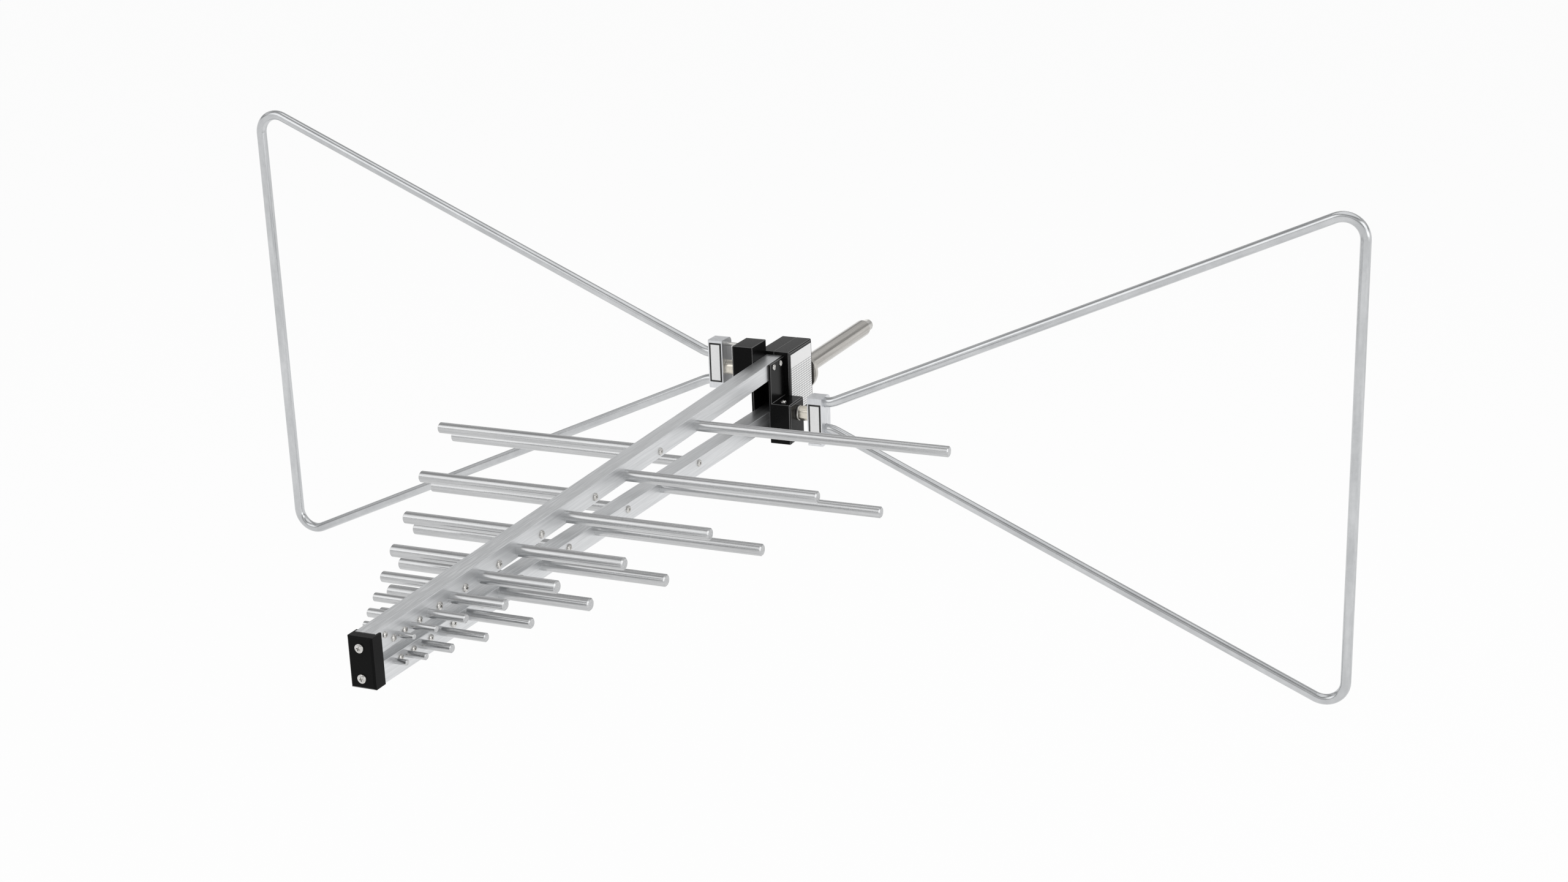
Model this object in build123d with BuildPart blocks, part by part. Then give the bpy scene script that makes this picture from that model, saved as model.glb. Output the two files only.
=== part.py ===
# Hybrid test antenna: a log-periodic fan of rods on two booms and a pair of bow-tie loops
# Frame: X across the rods, Y along the booms towards the mounting tube, Z up, millimetres.
# The origin is on the mounting tube's axis, midway along its plain length.
import math
import os

from build123d import *

os.makedirs("parts", exist_ok=True)

# Mounting tube and flange
tube_diameter = 22.0
tube_wall = 2.0
tube_length = 204.0
tube_chamfer = 0.8
flange_diameter = 50.0
flange_thickness = 6.0
boss_diameter = 36.0
boss_height = 4.0
index_pin_diameter = 4.0
index_pin_height = 3.0

# Balun housing, two half shells meeting on the plane x = 0
housing_width = 40.0
housing_depth = 67.0
housing_height = 88.0
housing_wall = 3.0
housing_edge = 1.5

# Booms, square tubes that spread apart towards the housing
boom_side = 20.0
boom_wall = 2.0
boom_edge = 0.6
boom_length = 810.0
front_spacing = 27.0
rear_spacing = 59.4
feed_bore = 7.0

# Rods: each next dipole is shorter and nearer by the same factor
dipole_count = 18
scale_factor = 0.857
longest_half = 302.0
first_dipole_back = 225.4
last_dipole_margin = 23.0
rod_inset = 3.6
rod_steps = ((9, 12.0), (11, 10.0), (14, 8.0), (16, 6.0), (18, 5.0))
rod_chamfer_share = 0.09

# Screws
screw_head_height = 2.2
screw_shank = 3.0
shank_clearance = 0.3

# Front cap, a U in plan that grips both booms
cap_side_wall = 2.0
cap_front_wall = 9.0
cap_length = 14.0
cap_height = 46.0
cap_edge = 1.6
cap_screw_head = 8.0
plug_length = 16.0
plug_clearance = 0.2

# Side blocks: a thin plate on the booms with an arm block on its outside
plate_thickness = 3.0
plate_depth = 39.0
plate_reach = 39.0
arm_outer = 37.0
arm_near = 9.0
arm_far = 58.0
arm_edge = 1.5

# Bow-tie loops of bent round bar
loop_bar = 12.0
loop_half_width = 695.0
loop_half_height = 290.0
loop_centre = 24.4
loop_entry = 16.5
loop_entry_end = 80.0
corner_radius = 24.0
entry_radius = 30.0
loop_plane_ahead = 16.0

# Clamp blocks that hold the loop ends
clamp_inner = 54.0
clamp_outer = 72.5
clamp_depth = 26.0
clamp_near = 0.5
clamp_far = 60.0
clamp_round = 7.0
bore_depth = 14.0
bore_clearance = 0.2

# Couplings between arm blocks and clamps
socket_diameter = 18.0
socket_thickness = 3.0
nut_across_flats = 17.0
nut_bevel = 0.8
guide_pin_diameter = 4.0
guide_pin_height = 53.5

# Inner parts
coax_diameter = 6.0
core_length = 40.0
core_height = 40.0

# Rear coaxial socket
connector_diameter = 15.6
connector_length = 19.0
connector_bore = 8.4
connector_pin = 3.0
connector_collar = 20.0
connector_collar_length = 3.0


# Positions that follow from the sizes above
tube_rear = tube_length / 2
housing_rear = -tube_rear - boss_height - flange_thickness
housing_front = housing_rear - housing_depth
boom_front = housing_front - boom_length
boom_spread = (rear_spacing - front_spacing) / 2
boom_angle = math.degrees(math.atan2(boom_spread, boom_length))
boom_mid_y = housing_front - boom_length / 2
boom_mid_z = (rear_spacing + front_spacing) / 4
loop_y = housing_front - loop_plane_ahead
loop_reach = arm_outer + socket_thickness
rod_span = boom_length - first_dipole_back - last_dipole_margin
first_gap = rod_span * (1 - scale_factor) / (1 - scale_factor ** (dipole_count - 1))
cut_side = 2 * rear_spacing + 2 * boom_side


def boom_axis_z(y):
    """Height of the upper boom's axis at the distance y."""
    return boom_mid_z + (y - boom_mid_y) * boom_spread / boom_length


def rod_height(y):
    """Height of a rod on the upper boom at y; the lower boom takes the negative."""
    return boom_axis_z(y) - rod_inset


def rod_diameter(number):
    """Bar diameter of dipole number 1 (rearmost) to 18."""
    for last, diameter in rod_steps:
        if number <= last:
            return diameter
    return rod_steps[-1][1]


def head_diameter(number):
    """Head of the screw that holds a rod."""
    return 8.0 if number <= 12 else 6.4


def dipoles():
    """Number, y and half length of each dipole, rear to front."""
    y = housing_front - first_dipole_back
    half = longest_half
    gap = first_gap
    rows = []
    for number in range(1, dipole_count + 1):
        rows.append((number, y, half))
        y -= gap
        gap *= scale_factor
        half *= scale_factor
    return rows


def finish(part, label):
    """Name a piece and write it."""
    part.label = label
    export_step(part, "parts/" + label + ".step")


# Rods, one on each side of the booms per dipole
# Odd dipoles have the right rod on the upper boom, even ones on the lower boom.
for number, y, half in dipoles():
    diameter = rod_diameter(number)
    for side, side_name in ((1, "right"), (-1, "left")):
        upper = (number % 2 == 1) == (side == 1)
        z = rod_height(y) if upper else -rod_height(y)
        root = side * boom_side / 2
        with BuildPart() as rod:
            with BuildSketch(Plane(origin=(root, y, z), x_dir=(0, 1, 0), z_dir=(side, 0, 0))):
                Circle(diameter / 2)
            extrude(amount=half - boom_side / 2)
            tip = rod.faces().sort_by(Axis.X)[-1 if side == 1 else 0]
            chamfer(tip.edges(), length=diameter * rod_chamfer_share)
        finish(rod.part, "rod_%02d_%s" % (number, side_name))


# Booms
def boom(sign):
    """A square tube on its tilted axis, with a cross hole for each rod screw and the feed bore."""
    axis = Plane(origin=(0, boom_mid_y, sign * boom_mid_z), x_dir=(1, 0, 0), z_dir=(0, 1, 0))
    axis = axis.rotated((sign * boom_angle, 0, 0))
    with BuildPart() as tube:
        with BuildSketch(axis):
            RectangleRounded(boom_side, boom_side, boom_edge)
            Rectangle(boom_side - 2 * boom_wall, boom_side - 2 * boom_wall, mode=Mode.SUBTRACT)
        extrude(amount=boom_length / 2 + boom_side / 2, both=True)
        # ends cut square to the frame
        with BuildSketch(Plane.XZ.offset(-housing_front)):
            Rectangle(cut_side, cut_side)
        extrude(amount=-boom_side, mode=Mode.SUBTRACT)
        with BuildSketch(Plane.XZ.offset(-boom_front)):
            Rectangle(cut_side, cut_side)
        extrude(amount=boom_side, mode=Mode.SUBTRACT)
        with BuildSketch(Plane.YZ):
            for number, y, half in dipoles():
                with Locations((y, sign * rod_height(y))):
                    Circle((screw_shank + shank_clearance) / 2)
        extrude(amount=boom_side, both=True, mode=Mode.SUBTRACT)
    return tube.part


finish(boom(1), "upper_boom")
finish(boom(-1), "lower_boom")


# Rod screws: a pan head on the side away from the rod and a shank through the boom
with BuildPart() as rod_screws:
    for number, y, half in dipoles():
        for side in (1, -1):
            upper = (number % 2 == 1) == (side == 1)
            z = rod_height(y) if upper else -rod_height(y)
            seat = -side * boom_side / 2
            with BuildSketch(Plane(origin=(seat, y, z), x_dir=(0, 1, 0), z_dir=(-side, 0, 0))):
                Circle(head_diameter(number) / 2)
            extrude(amount=screw_head_height, taper=12)
            with BuildSketch(Plane(origin=(seat, y, z), x_dir=(0, 1, 0), z_dir=(side, 0, 0))):
                Circle(screw_shank / 2)
            extrude(amount=boom_side - 0.2)
finish(rod_screws.part, "rod_screws")


# Front cap with its two screws, and the plugs they bite into
cap_front = boom_front - cap_front_wall
cap_half_width = boom_side / 2 + cap_side_wall
cap_screw_z = front_spacing / 2
with BuildPart() as front_cap:
    with BuildSketch(Plane.XY.offset(-cap_height / 2)):
        with Locations((0, cap_front + cap_length / 2)):
            Rectangle(2 * cap_half_width, cap_length)
        with Locations((0, boom_front + boom_side / 2)):
            Rectangle(boom_side, boom_side, mode=Mode.SUBTRACT)
    extrude(amount=cap_height)
    front = front_cap.faces().sort_by(Axis.Y)[0]
    chamfer(front.edges(), length=cap_edge)
    with BuildSketch(Plane.XZ.offset(-cap_front)):
        with Locations((0, cap_screw_z), (0, -cap_screw_z)):
            Circle((screw_shank + shank_clearance) / 2)
    extrude(amount=-cap_front_wall, mode=Mode.SUBTRACT)
finish(front_cap.part, "front_cap")

plug_side = boom_side - 2 * boom_wall - plug_clearance
with BuildPart() as plugs:
    for sign in (1, -1):
        axis = Plane(origin=(0, boom_front, sign * boom_axis_z(boom_front)), x_dir=(1, 0, 0), z_dir=(0, 1, 0))
        axis = axis.rotated((sign * boom_angle, 0, 0))
        with BuildSketch(axis):
            Rectangle(plug_side, plug_side)
        extrude(amount=plug_length, both=True)
    with BuildSketch(Plane.XZ.offset(-boom_front)):
        Rectangle(cut_side, cut_side)
    extrude(amount=boom_side, mode=Mode.SUBTRACT)
    with BuildSketch(Plane.XZ.offset(-boom_front)):
        with Locations((0, cap_screw_z), (0, -cap_screw_z)):
            Circle((screw_shank + shank_clearance) / 2)
    extrude(amount=-plug_length + 3, mode=Mode.SUBTRACT)
finish(plugs.part, "boom_plugs")


# Side blocks, the left one turned half a turn about Y against the right one
def side_block(side):
    """Thin plate along the booms with an arm block on its outside; side is 1 for right."""
    with BuildPart() as block:
        with BuildSketch(Plane.XZ.offset(-housing_front)):
            with Locations((side * (boom_side / 2 + plate_thickness / 2), side * (plate_reach - arm_far) / 2)):
                Rectangle(plate_thickness, plate_reach + arm_far)
            with Locations((side * (boom_side / 2 + arm_outer) / 2, -side * (arm_near + arm_far) / 2)):
                Rectangle(arm_outer - boom_side / 2, arm_far - arm_near)
        extrude(amount=plate_depth)
        outer = block.faces().sort_by(Axis.X)[-1 if side == 1 else 0]
        chamfer(outer.edges(), length=arm_edge)
    return block.part


finish(side_block(1), "side_block_right")
finish(side_block(-1), "side_block_left")


# Housing halves, hollow, with holes for the tube wires at the back and the feed line in front
def housing(side):
    """Half shell of the balun housing; side is 1 for right."""
    inner_w = housing_width / 2 - housing_wall
    mid_y = (housing_front + housing_rear) / 2
    with BuildPart() as shell:
        with BuildSketch(Plane.YZ):
            with Locations((mid_y, 0)):
                Rectangle(housing_depth, housing_height)
        extrude(amount=side * housing_width / 2)
        outer = shell.faces().sort_by(Axis.X)[-1 if side == 1 else 0]
        chamfer(outer.edges(), length=housing_edge)
        with BuildSketch(Plane.YZ):
            with Locations((mid_y, 0)):
                Rectangle(housing_depth - 2 * housing_wall, housing_height - 2 * housing_wall)
        extrude(amount=side * inner_w, mode=Mode.SUBTRACT)
        with BuildSketch(Plane.XZ.offset(-housing_front)):
            with Locations((0, -coax_z(housing_front))):
                Circle(feed_bore / 2)
        extrude(amount=-2 * housing_wall, mode=Mode.SUBTRACT)
        with BuildSketch(Plane.XZ.offset(-housing_rear)):
            Circle(feed_bore / 2)
        extrude(amount=2 * housing_wall, mode=Mode.SUBTRACT)
    return shell.part


def coax_z(y):
    """Distance of the feed line's axis below the middle at y: it lies on the lower boom's floor."""
    return boom_axis_z(y) + boom_side / 2 - boom_wall - coax_diameter / 2


finish(housing(1), "housing_right")
finish(housing(-1), "housing_left")

# Ferrite core of the balun, held between the half shells on the housing floor
core_width = housing_width - 2 * housing_wall
core_bottom = -housing_height / 2 + housing_wall
core_y = housing_rear - housing_wall - core_length / 2
with BuildPart() as core:
    with BuildSketch(Plane.XY.offset(core_bottom)):
        with Locations((0, core_y)):
            Rectangle(core_width, core_length)
    extrude(amount=core_height)
finish(core.part, "balun_core")

# Feed line on the floor of the lower boom, from the front plug to the balun core
coax_front = boom_front + plug_length + 2
coax_rear = core_y - core_length / 2 - 0.2
with BuildPart() as feed_line:
    with BuildLine():
        Line((0, coax_front, -coax_z(coax_front)), (0, coax_rear, -coax_z(coax_rear)))
    with BuildSketch(Plane(origin=(0, coax_front, -coax_z(coax_front)), z_dir=(0, boom_length, -boom_spread))):
        Circle(coax_diameter / 2 - 0.1)
    sweep()
finish(feed_line.part, "feed_line")


# Bow-tie loops
def loop(side):
    """Round bar bent to a trapezium, its two ends parallel in the clamp; side is 1 for right."""
    z0 = -side * loop_centre
    start = side * (clamp_outer - bore_depth)
    pts = [(start, loop_entry), (side * loop_entry_end, loop_entry), (side * loop_half_width, loop_half_height)]
    ring = [Vector(x, loop_y, z0 + h) for x, h in pts] + [Vector(x, loop_y, z0 - h) for x, h in reversed(pts)]
    with BuildPart() as bar:
        with BuildLine() as path:
            FilletPolyline(*ring, radius=(entry_radius, corner_radius, corner_radius, entry_radius))
        with BuildSketch(Plane(origin=ring[0], x_dir=(0, 1, 0), z_dir=(side, 0, 0))):
            Circle(loop_bar / 2)
        sweep(path=path.wires()[0])
    return bar.part


finish(loop(1), "loop_right")
finish(loop(-1), "loop_left")


# Clamp blocks with rounded rear corners and two blind bores for the loop ends
def clamp(side):
    """Upright block at the inner end of a loop; side is 1 for right."""
    mid_z = -side * (clamp_near + clamp_far) / 2
    with BuildPart() as block:
        with BuildSketch(Plane.YZ.offset(side * clamp_inner)):
            with Locations((loop_y, mid_z)):
                Rectangle(clamp_depth, clamp_far - clamp_near)
        extrude(amount=side * (clamp_outer - clamp_inner))
        ends = block.edges().filter_by(Axis.X)
        fillet(ends.group_by(Axis.Y)[-1], radius=clamp_round)
        chamfer(block.edges().filter_by(Axis.X).group_by(Axis.Y)[0], length=1.0)
        with BuildSketch(Plane.YZ.offset(side * clamp_outer)):
            with Locations((loop_y, -side * loop_centre + loop_entry), (loop_y, -side * loop_centre - loop_entry)):
                Circle((loop_bar + bore_clearance) / 2)
        extrude(amount=-side * bore_depth, mode=Mode.SUBTRACT)
    return block.part


finish(clamp(1), "clamp_right")
finish(clamp(-1), "clamp_left")


# Couplings: a round socket on each arm block, a hexagon nut up to the clamp
with BuildPart() as sockets:
    for side in (1, -1):
        with BuildSketch(Plane(origin=(side * arm_outer, loop_y, -side * loop_centre), z_dir=(side, 0, 0))):
            Circle(socket_diameter / 2)
        extrude(amount=socket_thickness)
finish(sockets.part, "arm_sockets")

for side, side_name in ((1, "right"), (-1, "left")):
    with BuildPart() as nut:
        plane = Plane(origin=(side * loop_reach, loop_y, -side * loop_centre), x_dir=(0, 0, 1), z_dir=(side, 0, 0))
        with BuildSketch(plane):
            RegularPolygon(nut_across_flats / 2, 6, major_radius=False)
        extrude(amount=clamp_inner - loop_reach)
        with BuildSketch(plane):
            Circle(nut_across_flats / 2 * 1.07)
        extrude(amount=clamp_inner - loop_reach, mode=Mode.INTERSECT)
    finish(nut.part, "coupling_nut_" + side_name)

with BuildPart() as guide_pins:
    for side in (1, -1):
        with BuildSketch(Plane(origin=(side * arm_outer, loop_y, -side * guide_pin_height), z_dir=(side, 0, 0))):
            Circle(guide_pin_diameter / 2)
        extrude(amount=clamp_inner - arm_outer)
finish(guide_pins.part, "guide_pins")


# Small screws: cap screws, side block screws and the feed screw near the cap
feed_screw_y = boom_front + 12.0
feed_screw_z = boom_axis_z(feed_screw_y) + 4.2
block_screw_ys = (housing_front - 30.0, housing_front - 11.0)
block_screw_z = 33.5
arm_screw_x = 23.0
arm_screw_y = housing_front - 28.0
with BuildPart() as small_screws:
    for sign in (1, -1):
        with BuildSketch(Plane(origin=(0, cap_front, sign * cap_screw_z), z_dir=(0, -1, 0))):
            Circle(cap_screw_head / 2)
        extrude(amount=screw_head_height, taper=12)
        with BuildSketch(Plane(origin=(0, cap_front, sign * cap_screw_z), z_dir=(0, 1, 0))):
            Circle(screw_shank / 2)
        extrude(amount=cap_front_wall + plug_length - 5)
    for side in (1, -1):
        for y in block_screw_ys:
            outer = side * (boom_side / 2 + plate_thickness)
            with BuildSketch(Plane(origin=(outer, y, side * block_screw_z), z_dir=(side, 0, 0))):
                Circle(3.6)
            extrude(amount=screw_head_height, taper=12)
        with BuildSketch(Plane(origin=(side * arm_screw_x, arm_screw_y, -side * arm_near), z_dir=(0, 0, side))):
            Circle(3.6)
        extrude(amount=screw_head_height, taper=12)
    with BuildSketch(Plane(origin=(boom_side / 2, feed_screw_y, feed_screw_z), z_dir=(1, 0, 0))):
        Circle(2.6)
    extrude(amount=screw_head_height * 0.7, taper=12)
finish(small_screws.part, "small_screws")


# Mounting flange, tube and rear socket
with BuildPart() as flange:
    with BuildSketch(Plane.XZ.offset(-housing_rear)):
        Circle(flange_diameter / 2)
    extrude(amount=-flange_thickness)
    with BuildSketch(Plane.XZ.offset(-housing_rear - flange_thickness)):
        Circle(boss_diameter / 2)
    extrude(amount=-boss_height)
    with BuildSketch(Plane.XZ.offset(-housing_rear - flange_thickness)):
        with Locations((0, -(flange_diameter + boss_diameter) / 4)):
            Circle(index_pin_diameter / 2)
    extrude(amount=-index_pin_height)
    with BuildSketch(Plane.XZ.offset(-housing_rear)):
        Circle(feed_bore / 2)
    extrude(amount=-flange_thickness - boss_height, mode=Mode.SUBTRACT)
finish(flange.part, "mount_flange")

with BuildPart() as tube:
    with BuildSketch(Plane.XZ.offset(tube_rear)):
        Circle(tube_diameter / 2)
    extrude(amount=-tube_length)
    chamfer(tube.faces().sort_by(Axis.Y)[-1].edges(), length=tube_chamfer)
    with BuildSketch(Plane.XZ.offset(tube_rear)):
        Circle(tube_diameter / 2 - tube_wall)
    extrude(amount=-tube_length, mode=Mode.SUBTRACT)
finish(tube.part, "mount_tube")

with BuildPart() as connector:
    with BuildSketch(Plane.XZ.offset(-tube_rear)):
        Circle(connector_collar / 2)
    extrude(amount=-connector_collar_length)
    with BuildSketch(Plane.XZ.offset(-tube_rear)):
        Circle(connector_diameter / 2)
    extrude(amount=-connector_length)
    with BuildSketch(Plane.XZ.offset(-tube_rear - connector_length)):
        Circle(connector_bore / 2)
    extrude(amount=connector_length - 6, mode=Mode.SUBTRACT)
    with BuildSketch(Plane.XZ.offset(-tube_rear - 5)):
        Circle(connector_pin / 2)
    extrude(amount=-connector_length + 9)
finish(connector.part, "rear_socket")
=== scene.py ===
# %% [markdown]
# # A broadband test antenna, dressed for its portrait
#
# The solids come from a CAD model: two booms, a fan of rods that shrinks by one steady factor,
# two bent loops, a black balun housing and a steel tube. This script gives each piece its finish,
# adds the small things that catch the eye (cross recesses, a threaded socket, plates), and lights
# the whole with plain soft studio light.

import math

import bmesh
import bpy
from mathutils import Matrix, Vector


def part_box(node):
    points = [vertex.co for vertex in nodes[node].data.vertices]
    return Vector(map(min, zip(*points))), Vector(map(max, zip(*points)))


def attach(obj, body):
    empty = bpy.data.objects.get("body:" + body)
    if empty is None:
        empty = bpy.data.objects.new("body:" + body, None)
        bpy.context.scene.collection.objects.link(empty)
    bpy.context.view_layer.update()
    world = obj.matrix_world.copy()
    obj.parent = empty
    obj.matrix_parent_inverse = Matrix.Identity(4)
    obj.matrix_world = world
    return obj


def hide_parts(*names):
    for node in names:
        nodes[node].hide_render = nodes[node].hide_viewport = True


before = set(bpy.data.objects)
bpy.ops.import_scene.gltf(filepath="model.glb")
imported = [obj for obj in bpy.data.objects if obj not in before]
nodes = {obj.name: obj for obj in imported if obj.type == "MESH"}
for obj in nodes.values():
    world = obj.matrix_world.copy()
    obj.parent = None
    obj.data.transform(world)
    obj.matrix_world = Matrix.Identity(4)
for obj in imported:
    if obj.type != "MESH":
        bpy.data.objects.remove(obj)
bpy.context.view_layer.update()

scene = bpy.context.scene
scene.view_settings.view_transform = "Standard"

# %% [markdown]
# ## Shader maths as plain expressions
#
# A finish is a few signals: grain, wear, an edge. Writing them as `grain * 0.2 + 0.3` is easier to
# read than a list of links, so one small class wraps a socket and turns each operator into a Math
# node. Every other node comes from `add_node`, which sets the node's options first and then its
# sockets.


# %% Signals and nodes
class Signal:
    """An output socket that can be used in sums."""

    def __init__(self, tree, socket):
        self.tree = tree
        self.socket = socket

    def _maths(self, operation, first, second, clamp=False):
        settings = {"operation": operation, "use_clamp": clamp}
        node = add_node(self.tree, "ShaderNodeMath", settings, {0: first, 1: second})
        return Signal(self.tree, node.outputs[0])

    def __add__(self, other):
        return self._maths("ADD", self, other)

    def __radd__(self, other):
        return self._maths("ADD", other, self)

    def __sub__(self, other):
        return self._maths("SUBTRACT", self, other)

    def __rsub__(self, other):
        return self._maths("SUBTRACT", other, self)

    def __mul__(self, other):
        return self._maths("MULTIPLY", self, other)

    def __rmul__(self, other):
        return self._maths("MULTIPLY", other, self)

    def over(self, edge):
        """1 where the signal is above edge, else 0."""
        return self._maths("GREATER_THAN", self, edge)

    def larger(self, other):
        """The larger of two signals."""
        return self._maths("MAXIMUM", self, other)

    def folded(self, length):
        """The signal folded to and fro between 0 and length."""
        return self._maths("PINGPONG", self, length)

    def held(self):
        """The signal kept between 0 and 1."""
        return self._maths("ADD", self, 0.0, clamp=True)


def add_node(tree, kind, settings=None, sockets=None):
    """A node of that kind: options and ramp stops first, then values or links."""
    node = tree.nodes.new(kind)
    for key, value in (settings or {}).items():
        if key == "stops":
            ramp = node.color_ramp
            while len(ramp.elements) < len(value):
                ramp.elements.new(0.5)
            for element, (place, colour) in zip(ramp.elements, value):
                element.position = place
                element.color = colour
        else:
            setattr(node, key, value)
    for key, value in (sockets or {}).items():
        if isinstance(value, Signal):
            tree.links.new(value.socket, node.inputs[key])
        elif isinstance(value, bpy.types.NodeSocket):
            tree.links.new(value, node.inputs[key])
        else:
            node.inputs[key].default_value = value
    return node


def grey(value):
    """A grey as a colour with alpha."""
    return (value, value, value, 1.0)


print("signals ready")

# %% [markdown]
# ## A base for every finish
#
# All finishes start alike: a Principled shader, and a noise that is stretched along the way the
# real piece was drawn or brushed. The stretch is what separates a drawn rod from a turned tube, so
# it is the first thing each finish states: cells per metre in X, Y and Z.


# %% Base material with a stretched grain
def new_finish(name):
    """An empty material with a Principled shader; returns the material, its tree and the shader."""
    material = bpy.data.materials.new(name)
    material.use_nodes = True
    tree = material.node_tree
    return material, tree, tree.nodes["Principled BSDF"]


def grain(tree, cells, detail=2.0, rough=0.5):
    """Noise from 0 to 1 with that many cells per metre along each axis."""
    place = add_node(tree, "ShaderNodeTexCoord").outputs["Object"]
    stretch = add_node(tree, "ShaderNodeMapping", {}, {"Vector": place, "Scale": cells})
    sockets = {"Vector": stretch.outputs[0], "Scale": 1.0, "Detail": detail, "Roughness": rough}
    noise = add_node(tree, "ShaderNodeTexNoise", {}, sockets)
    return Signal(tree, noise.outputs[0])


def ramp_colour(tree, signal, low, high, start=0.3, end=0.7):
    """Two colours blended over part of the signal's range."""
    stops = ((start, low), (end, high))
    return add_node(tree, "ShaderNodeValToRGB", {"stops": stops}, {0: signal}).outputs[0]


def bump(tree, signal, depth, strength):
    """A normal from a height signal, depth in metres."""
    sockets = {"Height": signal, "Distance": depth, "Strength": strength}
    return add_node(tree, "ShaderNodeBump", {}, sockets).outputs[0]


print("grain ready")

# %% [markdown]
# ## Scratches on top of the booms
#
# Near the front the top of the upper boom carries coarse scratches that its sides don't have. A
# mask from the face's own direction and from the place along the boom keeps them there. That is
# quicker than painting a mask, and it can't slip off the face when the mesh changes.


# %% Scratches that fade along the boom
def front_scratches(tree):
    """Coarse scratches on the top face, strong at the front and gone by mid length."""
    place = add_node(tree, "ShaderNodeTexCoord").outputs["Object"]
    along = Signal(tree, add_node(tree, "ShaderNodeSeparateXYZ", {}, {0: place}).outputs[1])
    fade = (along * -2.5 - 1.1).held()
    normal = add_node(tree, "ShaderNodeNewGeometry").outputs["Normal"]
    upward = Signal(tree, add_node(tree, "ShaderNodeSeparateXYZ", {}, {0: normal}).outputs[2])
    return (grain(tree, (1200, 32, 1200), detail=2.0) - 0.56) * upward.over(0.7) * fade


print("scratches ready")

# %% [markdown]
# ## One recipe for bare metal
#
# Bare metal is a mirror with a fine texture. Its colour says how much it reflects and its
# roughness how wide the reflection spreads, and both follow the same grain, because a scratch is
# darker and duller at once. So one function makes every metal here, and a finish is only its
# colours, its roughness and the way its grain runs.


# %% Metal from a grain and a speckle
def metal(name, low, high, roughness, spread, cells, fine, depth=0.00002, scratch=0.0):
    """Metal whose colour and roughness follow a stretched grain and a fine speckle."""
    material, tree, shader = new_finish(name)
    mixed = grain(tree, cells) * 0.7 + grain(tree, fine, detail=3.0, rough=0.6) * 0.3
    if scratch:
        mixed = mixed + front_scratches(tree) * scratch
    tree.links.new(ramp_colour(tree, mixed, low, high), shader.inputs["Base Color"])
    level = mixed * spread + (roughness - spread * 0.5)
    tree.links.new(level.socket, shader.inputs["Roughness"])
    shader.inputs["Metallic"].default_value = 1.0
    tree.links.new(bump(tree, mixed, depth, 0.5), shader.inputs["Normal"])
    return material


print("metal recipe ready")

# %% [markdown]
# ## Aluminium
#
# The rods were drawn through a die, so their grain runs along X, and they have dulled to a mid
# grey. The booms are square tube brushed lengthwise and lighter than the rods, and their corners
# carry a painted highlight: a paler metal on the bevel. The loops are smooth bar and the clamps are
# milled, so their grain hardly shows.

# %% Aluminium finishes
drawn_rod = metal(
    "drawn rod",
    low=(0.46, 0.465, 0.47, 1),
    high=(0.64, 0.645, 0.65, 1),
    roughness=0.26,
    spread=0.12,
    cells=(9, 700, 700),
    fine=(160, 900, 900),
    depth=0.00001,
)
brushed_boom = metal(
    "brushed boom",
    low=(0.65, 0.66, 0.67, 1),
    high=(0.82, 0.83, 0.84, 1),
    roughness=0.38,
    spread=0.16,
    cells=(620, 16, 620),
    fine=(1400, 60, 1400),
    depth=0.000012,
    scratch=2.6,
)
# Painted highlight: a paler metal than the boom's, put on the booms' bevelled corners to stand in
# for the light they catch.
boom_edge_painted_highlight = metal(
    "bright edge",
    low=(0.90, 0.91, 0.92, 1),
    high=(0.97, 0.975, 0.98, 1),
    roughness=0.24,
    spread=0.08,
    cells=(300, 30, 300),
    fine=(900, 900, 900),
)
bright_loop = metal(
    "bright loop",
    low=(0.48, 0.49, 0.50, 1),
    high=(0.66, 0.67, 0.68, 1),
    roughness=0.20,
    spread=0.08,
    cells=(14, 300, 14),
    fine=(120, 500, 120),
    depth=0.000004,
)
satin_clamp = metal(
    "satin clamp",
    low=(0.66, 0.67, 0.69, 1),
    high=(0.80, 0.81, 0.83, 1),
    roughness=0.34,
    spread=0.12,
    cells=(260, 260, 60),
    fine=(900, 900, 900),
)
print("aluminium finishes: 5")

# %% [markdown]
# ## Steel and nickel
#
# The mounting tube is stainless steel, warmer and darker than the aluminium, and so smooth that it
# shows the studio in clear streaks. Screws and sockets are nickel plated, and the coupling nuts
# have yellowed a little from handling. These pieces are small and turned, so their grain is even
# in all directions.

# %% Steel and nickel finishes
even = (300, 300, 300)
speck = (900, 900, 900)
drawn_steel = metal(
    "drawn steel",
    low=(0.36, 0.345, 0.32, 1),
    high=(0.60, 0.58, 0.55, 1),
    roughness=0.15,
    spread=0.10,
    cells=(420, 8, 420),
    fine=(900, 200, 900),
)
turned_steel = metal(
    "turned steel",
    low=(0.44, 0.42, 0.39, 1),
    high=(0.66, 0.64, 0.60, 1),
    roughness=0.24,
    spread=0.12,
    cells=(60, 60, 60),
    fine=speck,
)
nickel = metal(
    "nickel plate",
    low=(0.50, 0.49, 0.47, 1),
    high=(0.74, 0.73, 0.71, 1),
    roughness=0.20,
    spread=0.10,
    cells=even,
    fine=speck,
)
# Painted light: the same nickel as the screws, painted lighter so that the arm sockets look lit
# beside the black blocks.
satin_nickel_painted_light = metal(
    "satin nickel, painted lighter",
    low=(0.74, 0.72, 0.67, 1),
    high=(0.88, 0.86, 0.81, 1),
    roughness=0.38,
    spread=0.10,
    cells=even,
    fine=speck,
)
warm_nickel = metal(
    "warm nickel nut",
    low=(0.64, 0.60, 0.52, 1),
    high=(0.80, 0.76, 0.68, 1),
    roughness=0.24,
    spread=0.10,
    cells=even,
    fine=speck,
)
print("steel and nickel finishes: 5")

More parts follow.
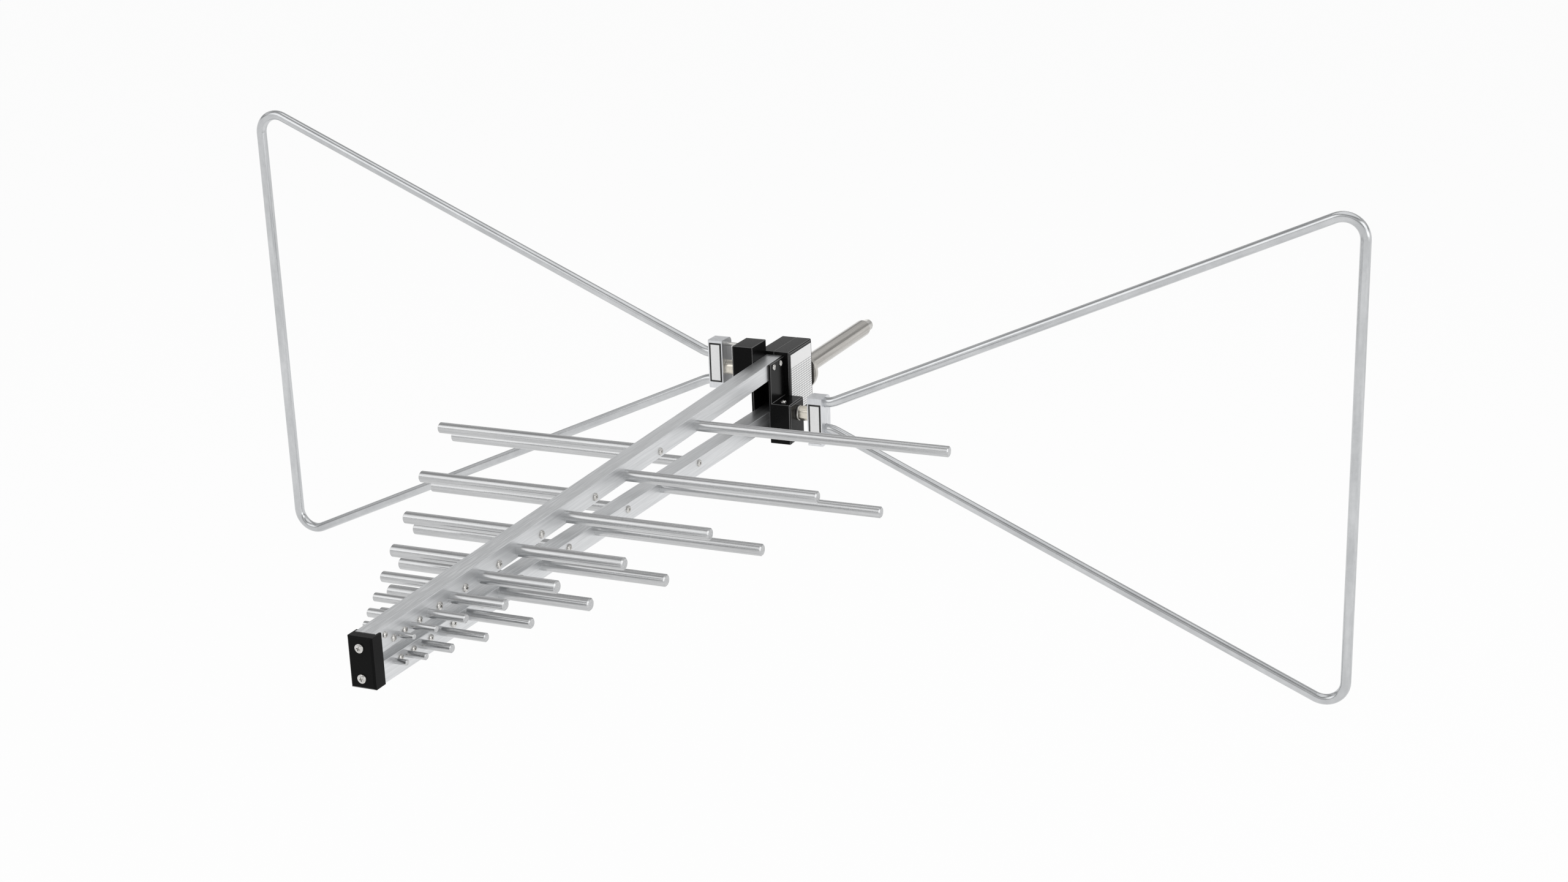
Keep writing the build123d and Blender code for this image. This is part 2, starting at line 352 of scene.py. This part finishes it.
# %% [markdown]
# ## Black plastic, and the inner parts
#
# The cap, the side blocks and the housing are machined from black plastic. It is satin: a grey
# sheen on the top faces, almost black where it faces the viewer. A very fine grain keeps the large
# faces from looking like glass. The low specular level keeps them black beside so much white.


# %% Plastics
def plastic(name, low, high, roughness, spread, cell, depth=0.00001, shine=0.5):
    """Opaque plastic with a fine even grain; shine is its specular level."""
    material, tree, shader = new_finish(name)
    shader.inputs["Specular IOR Level"].default_value = shine
    texture = grain(tree, (cell, cell, cell), detail=3.0)
    colour = ramp_colour(tree, texture, grey(low), grey(high))
    tree.links.new(colour, shader.inputs["Base Color"])
    level = texture * spread + (roughness - spread * 0.5)
    tree.links.new(level.socket, shader.inputs["Roughness"])
    tree.links.new(bump(tree, texture, depth, 0.4), shader.inputs["Normal"])
    return material


black_block = plastic("black block", 0.002, 0.004, 0.24, 0.06, 900, shine=0.08)
black_housing = plastic("black housing", 0.003, 0.006, 0.28, 0.06, 700, shine=0.12)
# Painted highlight: a grey far lighter than the black faces, put on the bevelled edges of the side
# blocks and the housing.
black_edge_painted_highlight = plastic("black edge, painted highlight", 0.035, 0.06, 0.22, 0.06, 900, shine=0.8)
cable_jacket = plastic("cable jacket", 0.02, 0.03, 0.5, 0.1, 400)
ferrite = plastic("ferrite", 0.05, 0.09, 0.7, 0.1, 500, depth=0.0001)
insulator = plastic("white insulator", 0.72, 0.80, 0.4, 0.05, 400)
print("plastic finishes: 6")

# %% [markdown]
# ## Softened edges
#
# No machined edge is perfectly sharp, and the thin bright line along an edge is what tells the eye
# that a block is real. A Bevel modifier makes that line. The imported solids have split corners, so
# a Weld modifier joins them first, and flat faces cut into triangles are joined too, because a
# bevel needs whole faces. Round pieces need no bevel, only smooth shading with the sharp edges
# kept. The booms and the black blocks give the bevel a finish of its own with a painted highlight:
# a paler metal on a tube's corner, and a lighter, shinier grey on a plastic edge.


# %% Smooth, soften, dress
def smooth(obj, angle=35.0):
    """Smooth shading that keeps edges sharper than angle, in degrees."""
    obj.data.shade_smooth()
    obj.data.set_sharp_from_angle(angle=math.radians(angle))


def soften(obj, width, segments=2, edge=None):
    """Weld the split corners, join flat triangles and round the sharp edges by width, in metres."""
    weld = obj.modifiers.new("weld", "WELD")
    weld.merge_threshold = 0.000005
    flat = obj.modifiers.new("flat", "DECIMATE")
    flat.decimate_type = "DISSOLVE"
    flat.angle_limit = math.radians(0.5)
    bevel = obj.modifiers.new("edge", "BEVEL")
    bevel.width = width
    bevel.segments = segments
    bevel.limit_method = "ANGLE"
    bevel.angle_limit = math.radians(30)
    # The edge finish paints a highlight on the bevel: it is paler than the faces beside it.
    if edge:
        obj.data.materials.append(edge)
        bevel.material = 1
    weighted = obj.modifiers.new("even", "WEIGHTED_NORMAL")
    weighted.mode = "FACE_AREA"
    weighted.weight = 80
    weighted.keep_sharp = True


def dress(name, material):
    """Give a CAD node one finish."""
    obj = nodes[name]
    obj.data.materials.clear()
    obj.data.materials.append(material)
    smooth(obj)
    return obj


print("edge tools ready")

# %% [markdown]
# ## Each solid gets its finish
#
# The solids keep the shapes and places that the CAD model gave them; only their surface changes
# here. The cap is moulded with a larger radius than the blocks, so its edge is rounder. The inner
# parts are dressed too, although the housing hides them, so that nobody who opens it finds bare
# grey.

# %% Dress the CAD solids
fine_edge = 0.0006
nut_edge = 0.0004
cap_edge = 0.0012
rod_names = sorted(name for name in nodes if name.startswith("rod_") and name != "rod_screws")
for name in rod_names:
    dress(name, drawn_rod)
# The booms' bevelled corners carry a painted highlight finish.
for name in ("upper_boom", "lower_boom"):
    soften(dress(name, brushed_boom), fine_edge, edge=boom_edge_painted_highlight)
for name in ("loop_left", "loop_right"):
    dress(name, bright_loop)
for name in ("clamp_left", "clamp_right"):
    soften(dress(name, satin_clamp), fine_edge)
# The side blocks' and the housing's bevelled edges carry a painted highlight finish.
for name in ("side_block_left", "side_block_right"):
    soften(dress(name, black_block), fine_edge, edge=black_edge_painted_highlight)
soften(dress("front_cap", black_block), cap_edge, segments=3)
for name in ("housing_left", "housing_right"):
    soften(dress(name, black_housing), fine_edge, edge=black_edge_painted_highlight)
for name in ("coupling_nut_left", "coupling_nut_right"):
    soften(dress(name, warm_nickel), nut_edge)
for name in ("rod_screws", "small_screws", "guide_pins", "rear_socket"):
    dress(name, nickel)
# The arm sockets get nickel painted lighter, standing in for the light they catch.
soften(dress("arm_sockets", satin_nickel_painted_light), fine_edge)
dress("mount_tube", drawn_steel)
soften(dress("mount_flange", turned_steel), nut_edge)
for name in ("feed_line", "boom_plugs"):
    dress(name, cable_jacket)
dress("balun_core", ferrite)
print("dressed", len(nodes), "solids,", len(rod_names), "of them rods")

# %% [markdown]
# ## Places taken from the solids
#
# The small pieces sit on faces of the solids. Their places could be typed, but they would be wrong
# as soon as the CAD model changes, so they are read from the solids' boxes.


# %% Boxes that the details hang on
def own_piece(name, mesh, material):
    """A new piece of the antenna that moves with it."""
    obj = bpy.data.objects.new(name, mesh)
    scene.collection.objects.link(obj)
    obj.data.materials.append(material)
    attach(obj, "root")
    return obj


cap_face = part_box("front_cap")[0][1]
boom_low, boom_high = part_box("upper_boom")
house_low, house_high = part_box("housing_right")
boom_face = boom_high[0]
house_front = house_low[1]
rear_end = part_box("mount_tube")[1][1]
print("boom face at", round(boom_face, 4), "tube end at", round(rear_end, 4))

# %% [markdown]
# ## Round pieces from a profile
#
# Screw heads, sockets and pins are all turned on a lathe, so they are made the same way: a profile
# of radius and height, swept round an axis. The Spin tool or a Screw modifier would do too; making
# the rings by hand gives a closed mesh with a known number of faces.


# %% Lathe
def lathe(profile, steps):
    """A closed mesh from a profile of (radius, height) points, turned about Z."""
    mesh = bpy.data.meshes.new("turned")
    shape = bmesh.new()
    rings = []
    for radius, height in profile:
        if radius < 1e-9:
            rings.append([shape.verts.new((0, 0, height))])
            continue
        ring = []
        for k in range(steps):
            angle = 2 * math.pi * k / steps
            place = (radius * math.cos(angle), radius * math.sin(angle), height)
            ring.append(shape.verts.new(place))
        rings.append(ring)
    for low, high in zip(rings, rings[1:]):
        for k in range(steps):
            n = (k + 1) % steps
            corners = [low[k % len(low)], low[n % len(low)]]
            corners += [high[n % len(high)], high[k % len(high)]]
            unique = list(dict.fromkeys(corners))
            if len(unique) > 2:
                shape.faces.new(unique)
    bmesh.ops.recalc_face_normals(shape, faces=shape.faces)
    shape.to_mesh(mesh)
    shape.free()
    return mesh


print("lathe ready")

# %% [markdown]
# ## Pan head screws
#
# Each rod is held by a screw whose head shows on the far side of the boom, so heads and rods
# alternate along it. A head is a low dome with a cross recess that two tapered bars cut out. The
# cut is made once, on a head one unit across, because a Boolean is slow and every other head can
# be a scaled copy.


# %% One head with a cross recess
def recess_bar(length, width, depth, turn):
    """A bar tapered towards its foot, turned about Z."""
    foot_length, foot_width = 0.55, 0.8
    shape = bmesh.new()
    bmesh.ops.create_cube(shape, size=1.0)
    for vert in shape.verts:
        at_foot = vert.co.z < 0
        x = vert.co.x * length * (foot_length if at_foot else 1)
        y = vert.co.y * width * (foot_width if at_foot else 1)
        vert.co = Vector((x, y, vert.co.z * depth))
    bmesh.ops.transform(shape, matrix=Matrix.Rotation(turn, 4, "Z"), verts=shape.verts)
    mesh = bpy.data.meshes.new("recess bar")
    shape.to_mesh(mesh)
    shape.free()
    return mesh


def cut_head(profile, cross_turn):
    """The unit head, cut by the cross, as a plain mesh."""
    head = bpy.data.objects.new("unit head", lathe(profile, 32))
    scene.collection.objects.link(head)
    cutters = []
    for turn in (cross_turn, cross_turn + math.pi / 2):
        bar = bpy.data.objects.new("cutter", recess_bar(0.56, 0.11, 0.34, turn))
        bar.location = (0, 0, 0.27)
        scene.collection.objects.link(bar)
        cut = head.modifiers.new("cross", "BOOLEAN")
        cut.object = bar
        cut.solver = "EXACT"
        cutters.append(bar)
    bpy.context.view_layer.update()
    graph = bpy.context.evaluated_depsgraph_get()
    mesh = bpy.data.meshes.new_from_object(head.evaluated_get(graph))
    for item in [head, *cutters]:
        bpy.data.objects.remove(item)
    return mesh


dome = 0.30
head_profile = [(0, 0), (0.5, 0), (0.5, 0.10), (0.47, 0.18), (0.38, 0.25), (0.22, 0.29), (0, dome)]
unit_head = cut_head(head_profile, 0.35)
print("head has", len(unit_head.polygons), "faces")

# %% [markdown]
# ## Copies of the head at every screw
#
# A row of screws is one mesh, not thirty-six objects: the head is copied to each place, turned so
# that it looks outward, and given a turn of its own, because real screws never stop at the same
# angle. The rod screws' places come from the rods themselves.


# %% Rod screws
def heads(name, places):
    """One mesh with a head at each (point, outward direction, diameter, turn)."""
    head_height = 0.0021
    shape = bmesh.new()
    for point, outward, diameter, turn in places:
        start = len(shape.verts)
        shape.from_mesh(unit_head)
        shape.verts.ensure_lookup_table()
        aim = Vector(outward).to_track_quat("Z", "Y").to_matrix().to_4x4()
        size = Matrix.Diagonal((diameter, diameter, min(diameter, head_height / dome), 1))
        move = Matrix.Translation(point) @ aim @ Matrix.Rotation(turn, 4, "Z") @ size
        bmesh.ops.transform(shape, matrix=move, verts=shape.verts[start:])
    mesh = bpy.data.meshes.new(name)
    shape.to_mesh(mesh)
    shape.free()
    obj = own_piece(name, mesh, nickel)
    smooth(obj, 28)
    return obj


last_thick_rod = 12
rod_heads = []
for name in rod_names:
    low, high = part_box(name)
    side = 1 if name.endswith("right") else -1
    number = int(name.split("_")[1])
    point = (-side * boom_face, (low[1] + high[1]) / 2, (low[2] + high[2]) / 2)
    diameter = 0.0080 if number <= last_thick_rod else 0.0064
    rod_heads.append((point, (-side, 0, 0), diameter, number * 1.7))
rod_screw_heads = heads("rod_screw_heads", rod_heads)
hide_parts("rod_screws")
print("rod screw heads:", len(rod_heads))

# %% [markdown]
# ## The other screws
#
# Two screws hold the front cap, two hold each side plate to its boom, one holds each arm block
# from above or below, and one small screw fixes the front plug in the upper boom. The left side is
# the right one turned half a turn about the boom direction, so one loop over the two sides places
# both.

# %% Screws of the cap, the side plates and the arm blocks
cap_screw, plate_screw, plug_screw = 0.0084, 0.0072, 0.0056
boom_height = 0.0135
plate_face = boom_face + 0.003
plate_screw_height = 0.0335
arm_screw = Vector((0.023, -0.028, -0.009))
plug_back, plug_height = 0.012, boom_height + 0.0002 + 0.0042

small_heads = []
for z in (boom_height, -boom_height):
    small_heads.append(((0, cap_face, z), (0, -1, 0), cap_screw, 0.4 + z * 40))
for side in (1, -1):
    for back in (0.030, 0.011):
        point = (side * plate_face, house_front - back, side * plate_screw_height)
        small_heads.append((point, (side, 0, 0), plate_screw, back * 90))
    point = (side * arm_screw.x, house_front + arm_screw.y, side * arm_screw.z)
    small_heads.append((point, (0, 0, side), plate_screw, 0.2))
plug_point = (boom_face, boom_low[1] + plug_back, plug_height)
small_heads.append((plug_point, (1, 0, 0), plug_screw, 0.9))
small_screw_heads = heads("small_screw_heads", small_heads)
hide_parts("small_screws")
print("other screw heads:", len(small_heads))

# %% [markdown]
# ## The socket at the end of the tube
#
# The cable screws onto a threaded socket. Its thread is so fine that rings stand for the spiral
# well enough, and rings are simple to turn on the lathe. A white insulator and a pin fill the mouth.

# %% Threaded socket
pitch, turns = 0.0011, 9
root, crest = 0.0072, 0.0078
collar = 0.0100
thread_start = 0.0085
mouth, floor_of_mouth, rim_height = 0.0060, 0.0080, 0.0190

socket_profile = [(0, 0), (collar, 0), (collar, 0.003), (crest, 0.0034), (crest, floor_of_mouth)]
for k in range(turns):
    base = thread_start + k * pitch
    socket_profile += [(root, base), (crest, base + pitch * 0.3)]
    socket_profile += [(crest, base + pitch * 0.5), (root, base + pitch * 0.8)]
socket_profile += [(0.0070, rim_height), (mouth, rim_height)]
socket_profile += [(mouth, floor_of_mouth), (0, floor_of_mouth)]

sunk = 0.0078
filler_profile = [(0, sunk), (0.0058, sunk), (0.0058, 0.0130)]
filler_profile += [(0.0030, 0.0130), (0.0030, 0.0110), (0, 0.0110)]
pin_profile = [(0, sunk), (0.0015, sunk), (0.0015, 0.0160), (0.0010, 0.0168), (0, 0.0168)]

along_y = Matrix.Translation((0, rear_end, 0)) @ Matrix.Rotation(-math.pi / 2, 4, "X")


def turned_piece(name, profile, steps, material):
    """A lathe piece on the tube's axis, looking backwards from the tube's end."""
    mesh = lathe(profile, steps)
    mesh.transform(along_y)
    obj = own_piece(name, mesh, material)
    smooth(obj, 25)
    return obj


socket = turned_piece("threaded_socket", socket_profile, 48, nickel)
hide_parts("rear_socket")
turned_piece("socket_insulator", filler_profile, 36, insulator)
turned_piece("socket_pin", pin_profile, 24, warm_nickel)
print("socket reaches", round(rear_end + rim_height, 4))

# %% [markdown]
# ## A finish ruled like a table
#
# The housing's plate is a white sheet ruled in fine grey lines under a plain heading band. The
# lines could be an image, but a folded ramp gives them from numbers alone: the distance along the
# plate is folded to and fro, and wherever it is close to zero there is a line.


# %% Ruled plate
def ruled_plate(name, low, high, rows, columns, axes):
    """White plate ruled with grey lines; axes are the plate's own two directions in X, Y, Z."""
    across, up = axes
    material, tree, shader = new_finish(name)
    place = add_node(tree, "ShaderNodeTexCoord").outputs["Object"]
    split = add_node(tree, "ShaderNodeSeparateXYZ", {}, {0: place})

    def lines(axis, count, half_line):
        cell = (high[axis] - low[axis]) / count
        along = Signal(tree, split.outputs[axis]) - low[axis]
        return 1 - along.folded(cell / 2).over(half_line)

    ruling = lines(across, columns, 0.00022).larger(lines(up, rows, 0.00026))
    heading_start = high[up] - (high[up] - low[up]) * 0.22
    heading = Signal(tree, split.outputs[up]).over(heading_start)
    colour = ramp_colour(tree, ruling * (1 - heading), grey(0.88), grey(0.14), 0.2, 0.8)
    tree.links.new(colour, shader.inputs["Base Color"])
    shader.inputs["Roughness"].default_value = 0.45
    return material


plate_white = plastic("plate white", 0.84, 0.88, 0.42, 0.05, 500)
plate_black = plastic("plate border", 0.012, 0.016, 0.40, 0.05, 500)
print("plate finishes: 3")

# %% [markdown]
# ## Plates
#
# Each clamp carries a small white plate with a black border, and the housing's right side a large
# ruled one. A plate is a very thin box, sunk a little into its solid so that no gap shows from the
# side. The border is a box of its own behind the white face, because two plain finishes are easier
# to change than one with a mask.


# %% Thin boxes on the housing and the clamps
def slab(name, low, high, material):
    """A thin box between two corners."""
    shape = bmesh.new()
    bmesh.ops.create_cube(shape, size=1.0)
    size = Vector(high) - Vector(low)
    middle = (Vector(high) + Vector(low)) / 2
    for vert in shape.verts:
        vert.co = Vector((vert.co.x * size.x, vert.co.y * size.y, vert.co.z * size.z)) + middle
    mesh = bpy.data.meshes.new(name)
    shape.to_mesh(mesh)
    shape.free()
    return own_piece(name, mesh, material)


sunk_in, sheet = 0.0001, 0.0003
side_margin, top_margin, data_foot = 0.0035, 0.0045, -0.034
data_low = (house_high[0] - sunk_in, house_front + side_margin, data_foot)
data_high = (house_high[0] + sheet, house_high[1] - side_margin, house_high[2] - top_margin)
data_finish = ruled_plate("ruled plate", data_low, data_high, rows=26, columns=8, axes=(1, 2))
slab("data_plate", data_low, data_high, data_finish)

half_width, half_height = 0.0078, 0.0240
rim, off_centre = 0.0021, 0.0023
for side, word in ((1, "right"), (-1, "left")):
    low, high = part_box("clamp_" + word)
    height = (low[2] + high[2]) / 2 - side * off_centre
    middle = Vector(((low[0] + high[0]) / 2, low[1], height))
    layers = (
        ("plate_border_", 0.0, 0.00025, plate_black),
        ("plate_face_", rim, 0.00035, plate_white),
    )
    for piece, inset, stands, finish in layers:
        corner = Vector((half_width - inset, 0, half_height - inset))
        front_corner = middle - corner - Vector((0, stands, 0))
        back_corner = middle + corner + Vector((0, sunk_in, 0))
        slab(piece + word, front_corner, back_corner, finish)
print("plates: 3, in 5 boxes")

# %% [markdown]
# ## Sky
#
# Bright metal shows what surrounds it. A plain white tent would make the rods flat, so the sky that
# camera and metal see is white up to a little above the horizon, as the floor is, and has soft grey
# bands higher up. Every other ray meets one even grey, so that colours come out as written.

# %% World
world = bpy.data.worlds.new("studio")
scene.world = world
world.use_nodes = True
tree = world.node_tree
tree.nodes.clear()
direction = add_node(tree, "ShaderNodeTexCoord").outputs["Generated"]
upward = Signal(tree, add_node(tree, "ShaderNodeSeparateXYZ", {}, {0: direction}).outputs[2])
bands = (
    (0.00, grey(0.96)),
    (0.58, grey(0.96)),
    (0.61, grey(0.40)),
    (0.67, grey(0.40)),
    (0.71, grey(0.75)),
    (0.78, grey(0.75)),
    (0.86, grey(0.36)),
    (1.00, grey(0.50)),
)
even_light = grey(0.70)
sky = add_node(tree, "ShaderNodeValToRGB", {"stops": bands}, {0: upward * 0.5 + 0.5}).outputs[0]
seen = add_node(tree, "ShaderNodeBackground", {}, {"Color": sky, "Strength": 1.0})
lit = add_node(tree, "ShaderNodeBackground", {}, {"Color": even_light, "Strength": 1.0})


def ray_share(tree, camera, glossy, transmission):
    """How much of a mix each kind of ray takes; all other rays take none."""
    path = add_node(tree, "ShaderNodeLightPath")
    share = Signal(tree, path.outputs["Is Camera Ray"]) * camera
    share = share + Signal(tree, path.outputs["Is Glossy Ray"]) * glossy
    return share + Signal(tree, path.outputs["Is Transmission Ray"]) * transmission


sockets = {0: ray_share(tree, 1.0, 1.0, 1.0), 1: lit.outputs[0], 2: seen.outputs[0]}
both = add_node(tree, "ShaderNodeMixShader", {}, sockets)
add_node(tree, "ShaderNodeOutputWorld", {}, {0: both.outputs[0]})
print("sky bands:", len(bands))

# %% [markdown]
# ## Floor
#
# The floor is pale and matt, far enough below that the antenna seems to float as in a catalogue. A
# part of its matt shader stays in the mix for the camera, so it takes a soft shadow and yet reads
# as white.


# %% Floor
def floor_material():
    """Pale matt floor that looks white to the camera and still takes a shadow."""
    material, tree, shader = new_finish("pale floor")
    tree.nodes.remove(shader)
    matt = add_node(tree, "ShaderNodeBsdfDiffuse", {}, {"Color": grey(0.88)})
    glow = add_node(tree, "ShaderNodeEmission", {}, {"Color": grey(1.0), "Strength": 1.0})
    sockets = {0: ray_share(tree, 0.92, 0.8, 0.8), 1: matt.outputs[0], 2: glow.outputs[0]}
    mixed = add_node(tree, "ShaderNodeMixShader", {}, sockets)
    tree.links.new(mixed.outputs[0], tree.nodes["Material Output"].inputs[0])
    return material


floor_level, floor_size = -0.62, 80
bpy.ops.mesh.primitive_plane_add(size=floor_size, location=(0, 0, floor_level))
floor = bpy.context.object
floor.name = "floor"
floor.data.materials.append(floor_material())
print("floor at", floor_level)

# %% [markdown]
# ## Lamps
#
# Three large square lamps: a key in front on the left, one overhead and a weaker fill on the
# right. Large lamps give the rods a wide soft highlight instead of a hard line, and their power is
# set so that no pale surface clips to white.


# %% Softboxes
def softbox(name, place, size, power):
    """A square area lamp aimed at the antenna's middle; size in metres, power in watts."""
    aimed_at = Vector((0, -0.45, 0))
    lamp = bpy.data.lights.new(name, "AREA")
    lamp.shape = "SQUARE"
    lamp.size = size
    lamp.energy = power
    obj = bpy.data.objects.new(name, lamp)
    obj.location = place
    obj.rotation_euler = (aimed_at - Vector(place)).to_track_quat("-Z", "Y").to_euler()
    scene.collection.objects.link(obj)


softbox("key", place=(-2.4, -3.4, 2.8), size=3.4, power=31)
softbox("top", place=(0.6, 0.2, 3.2), size=3.6, power=26)
softbox("right fill", place=(3.6, -1.4, 1.4), size=2.8, power=28)
print("lamps: 3")

# %% [markdown]
# ## Camera
#
# The camera stands where the photograph was taken from, in front and to the right, a little above
# the antenna. Turn, tilt and roll are the three angles of its head, and the lens follows from the
# angle of view across the frame. A shifted lens kept the loops' sides upright in the photograph, so
# this lens is shifted too, but only by part of that: more would push the antenna to the frame's
# edge as soon as the camera walks round it.

# %% Camera
turn = math.radians(-19.038)
tilt = math.radians(14.875)
roll = math.radians(0.449)
stand = (0.9542, -2.2326, 0.6810)
frame_width = 2560
focal = 3196.1
shift_left, shift_down = 300, 200
film = 36

ahead = (math.sin(turn) * math.cos(tilt), math.cos(turn) * math.cos(tilt), -math.sin(tilt))
forward = Vector(ahead)
level = Vector((math.cos(turn), -math.sin(turn), 0))
down = forward.cross(level)
right = level * math.cos(roll) + down * math.sin(roll)
below = down * math.cos(roll) - level * math.sin(roll)
camera_data = bpy.data.cameras.new("portrait")
camera_data.sensor_width = film
camera_data.lens = focal * film / frame_width
camera_data.shift_x = -shift_left / frame_width
camera_data.shift_y = -shift_down / frame_width
camera_data.clip_start = 0.05
camera_data.clip_end = 200
camera = bpy.data.objects.new("portrait", camera_data)
axes = Matrix([[right[i], -below[i], -forward[i]] for i in range(3)])
camera.matrix_world = Matrix.Translation(stand) @ axes.to_4x4()
scene.collection.objects.link(camera)
scene.camera = camera
print("lens", round(camera_data.lens, 2), "mm")

# %% [markdown]
# ## Bringing the scene up to date
#
# Finishes and small pieces must not make the antenna bigger than it was drawn. The script ends by
# bringing the view layer up to date.

# %% Update the view layer
bpy.context.view_layer.update()
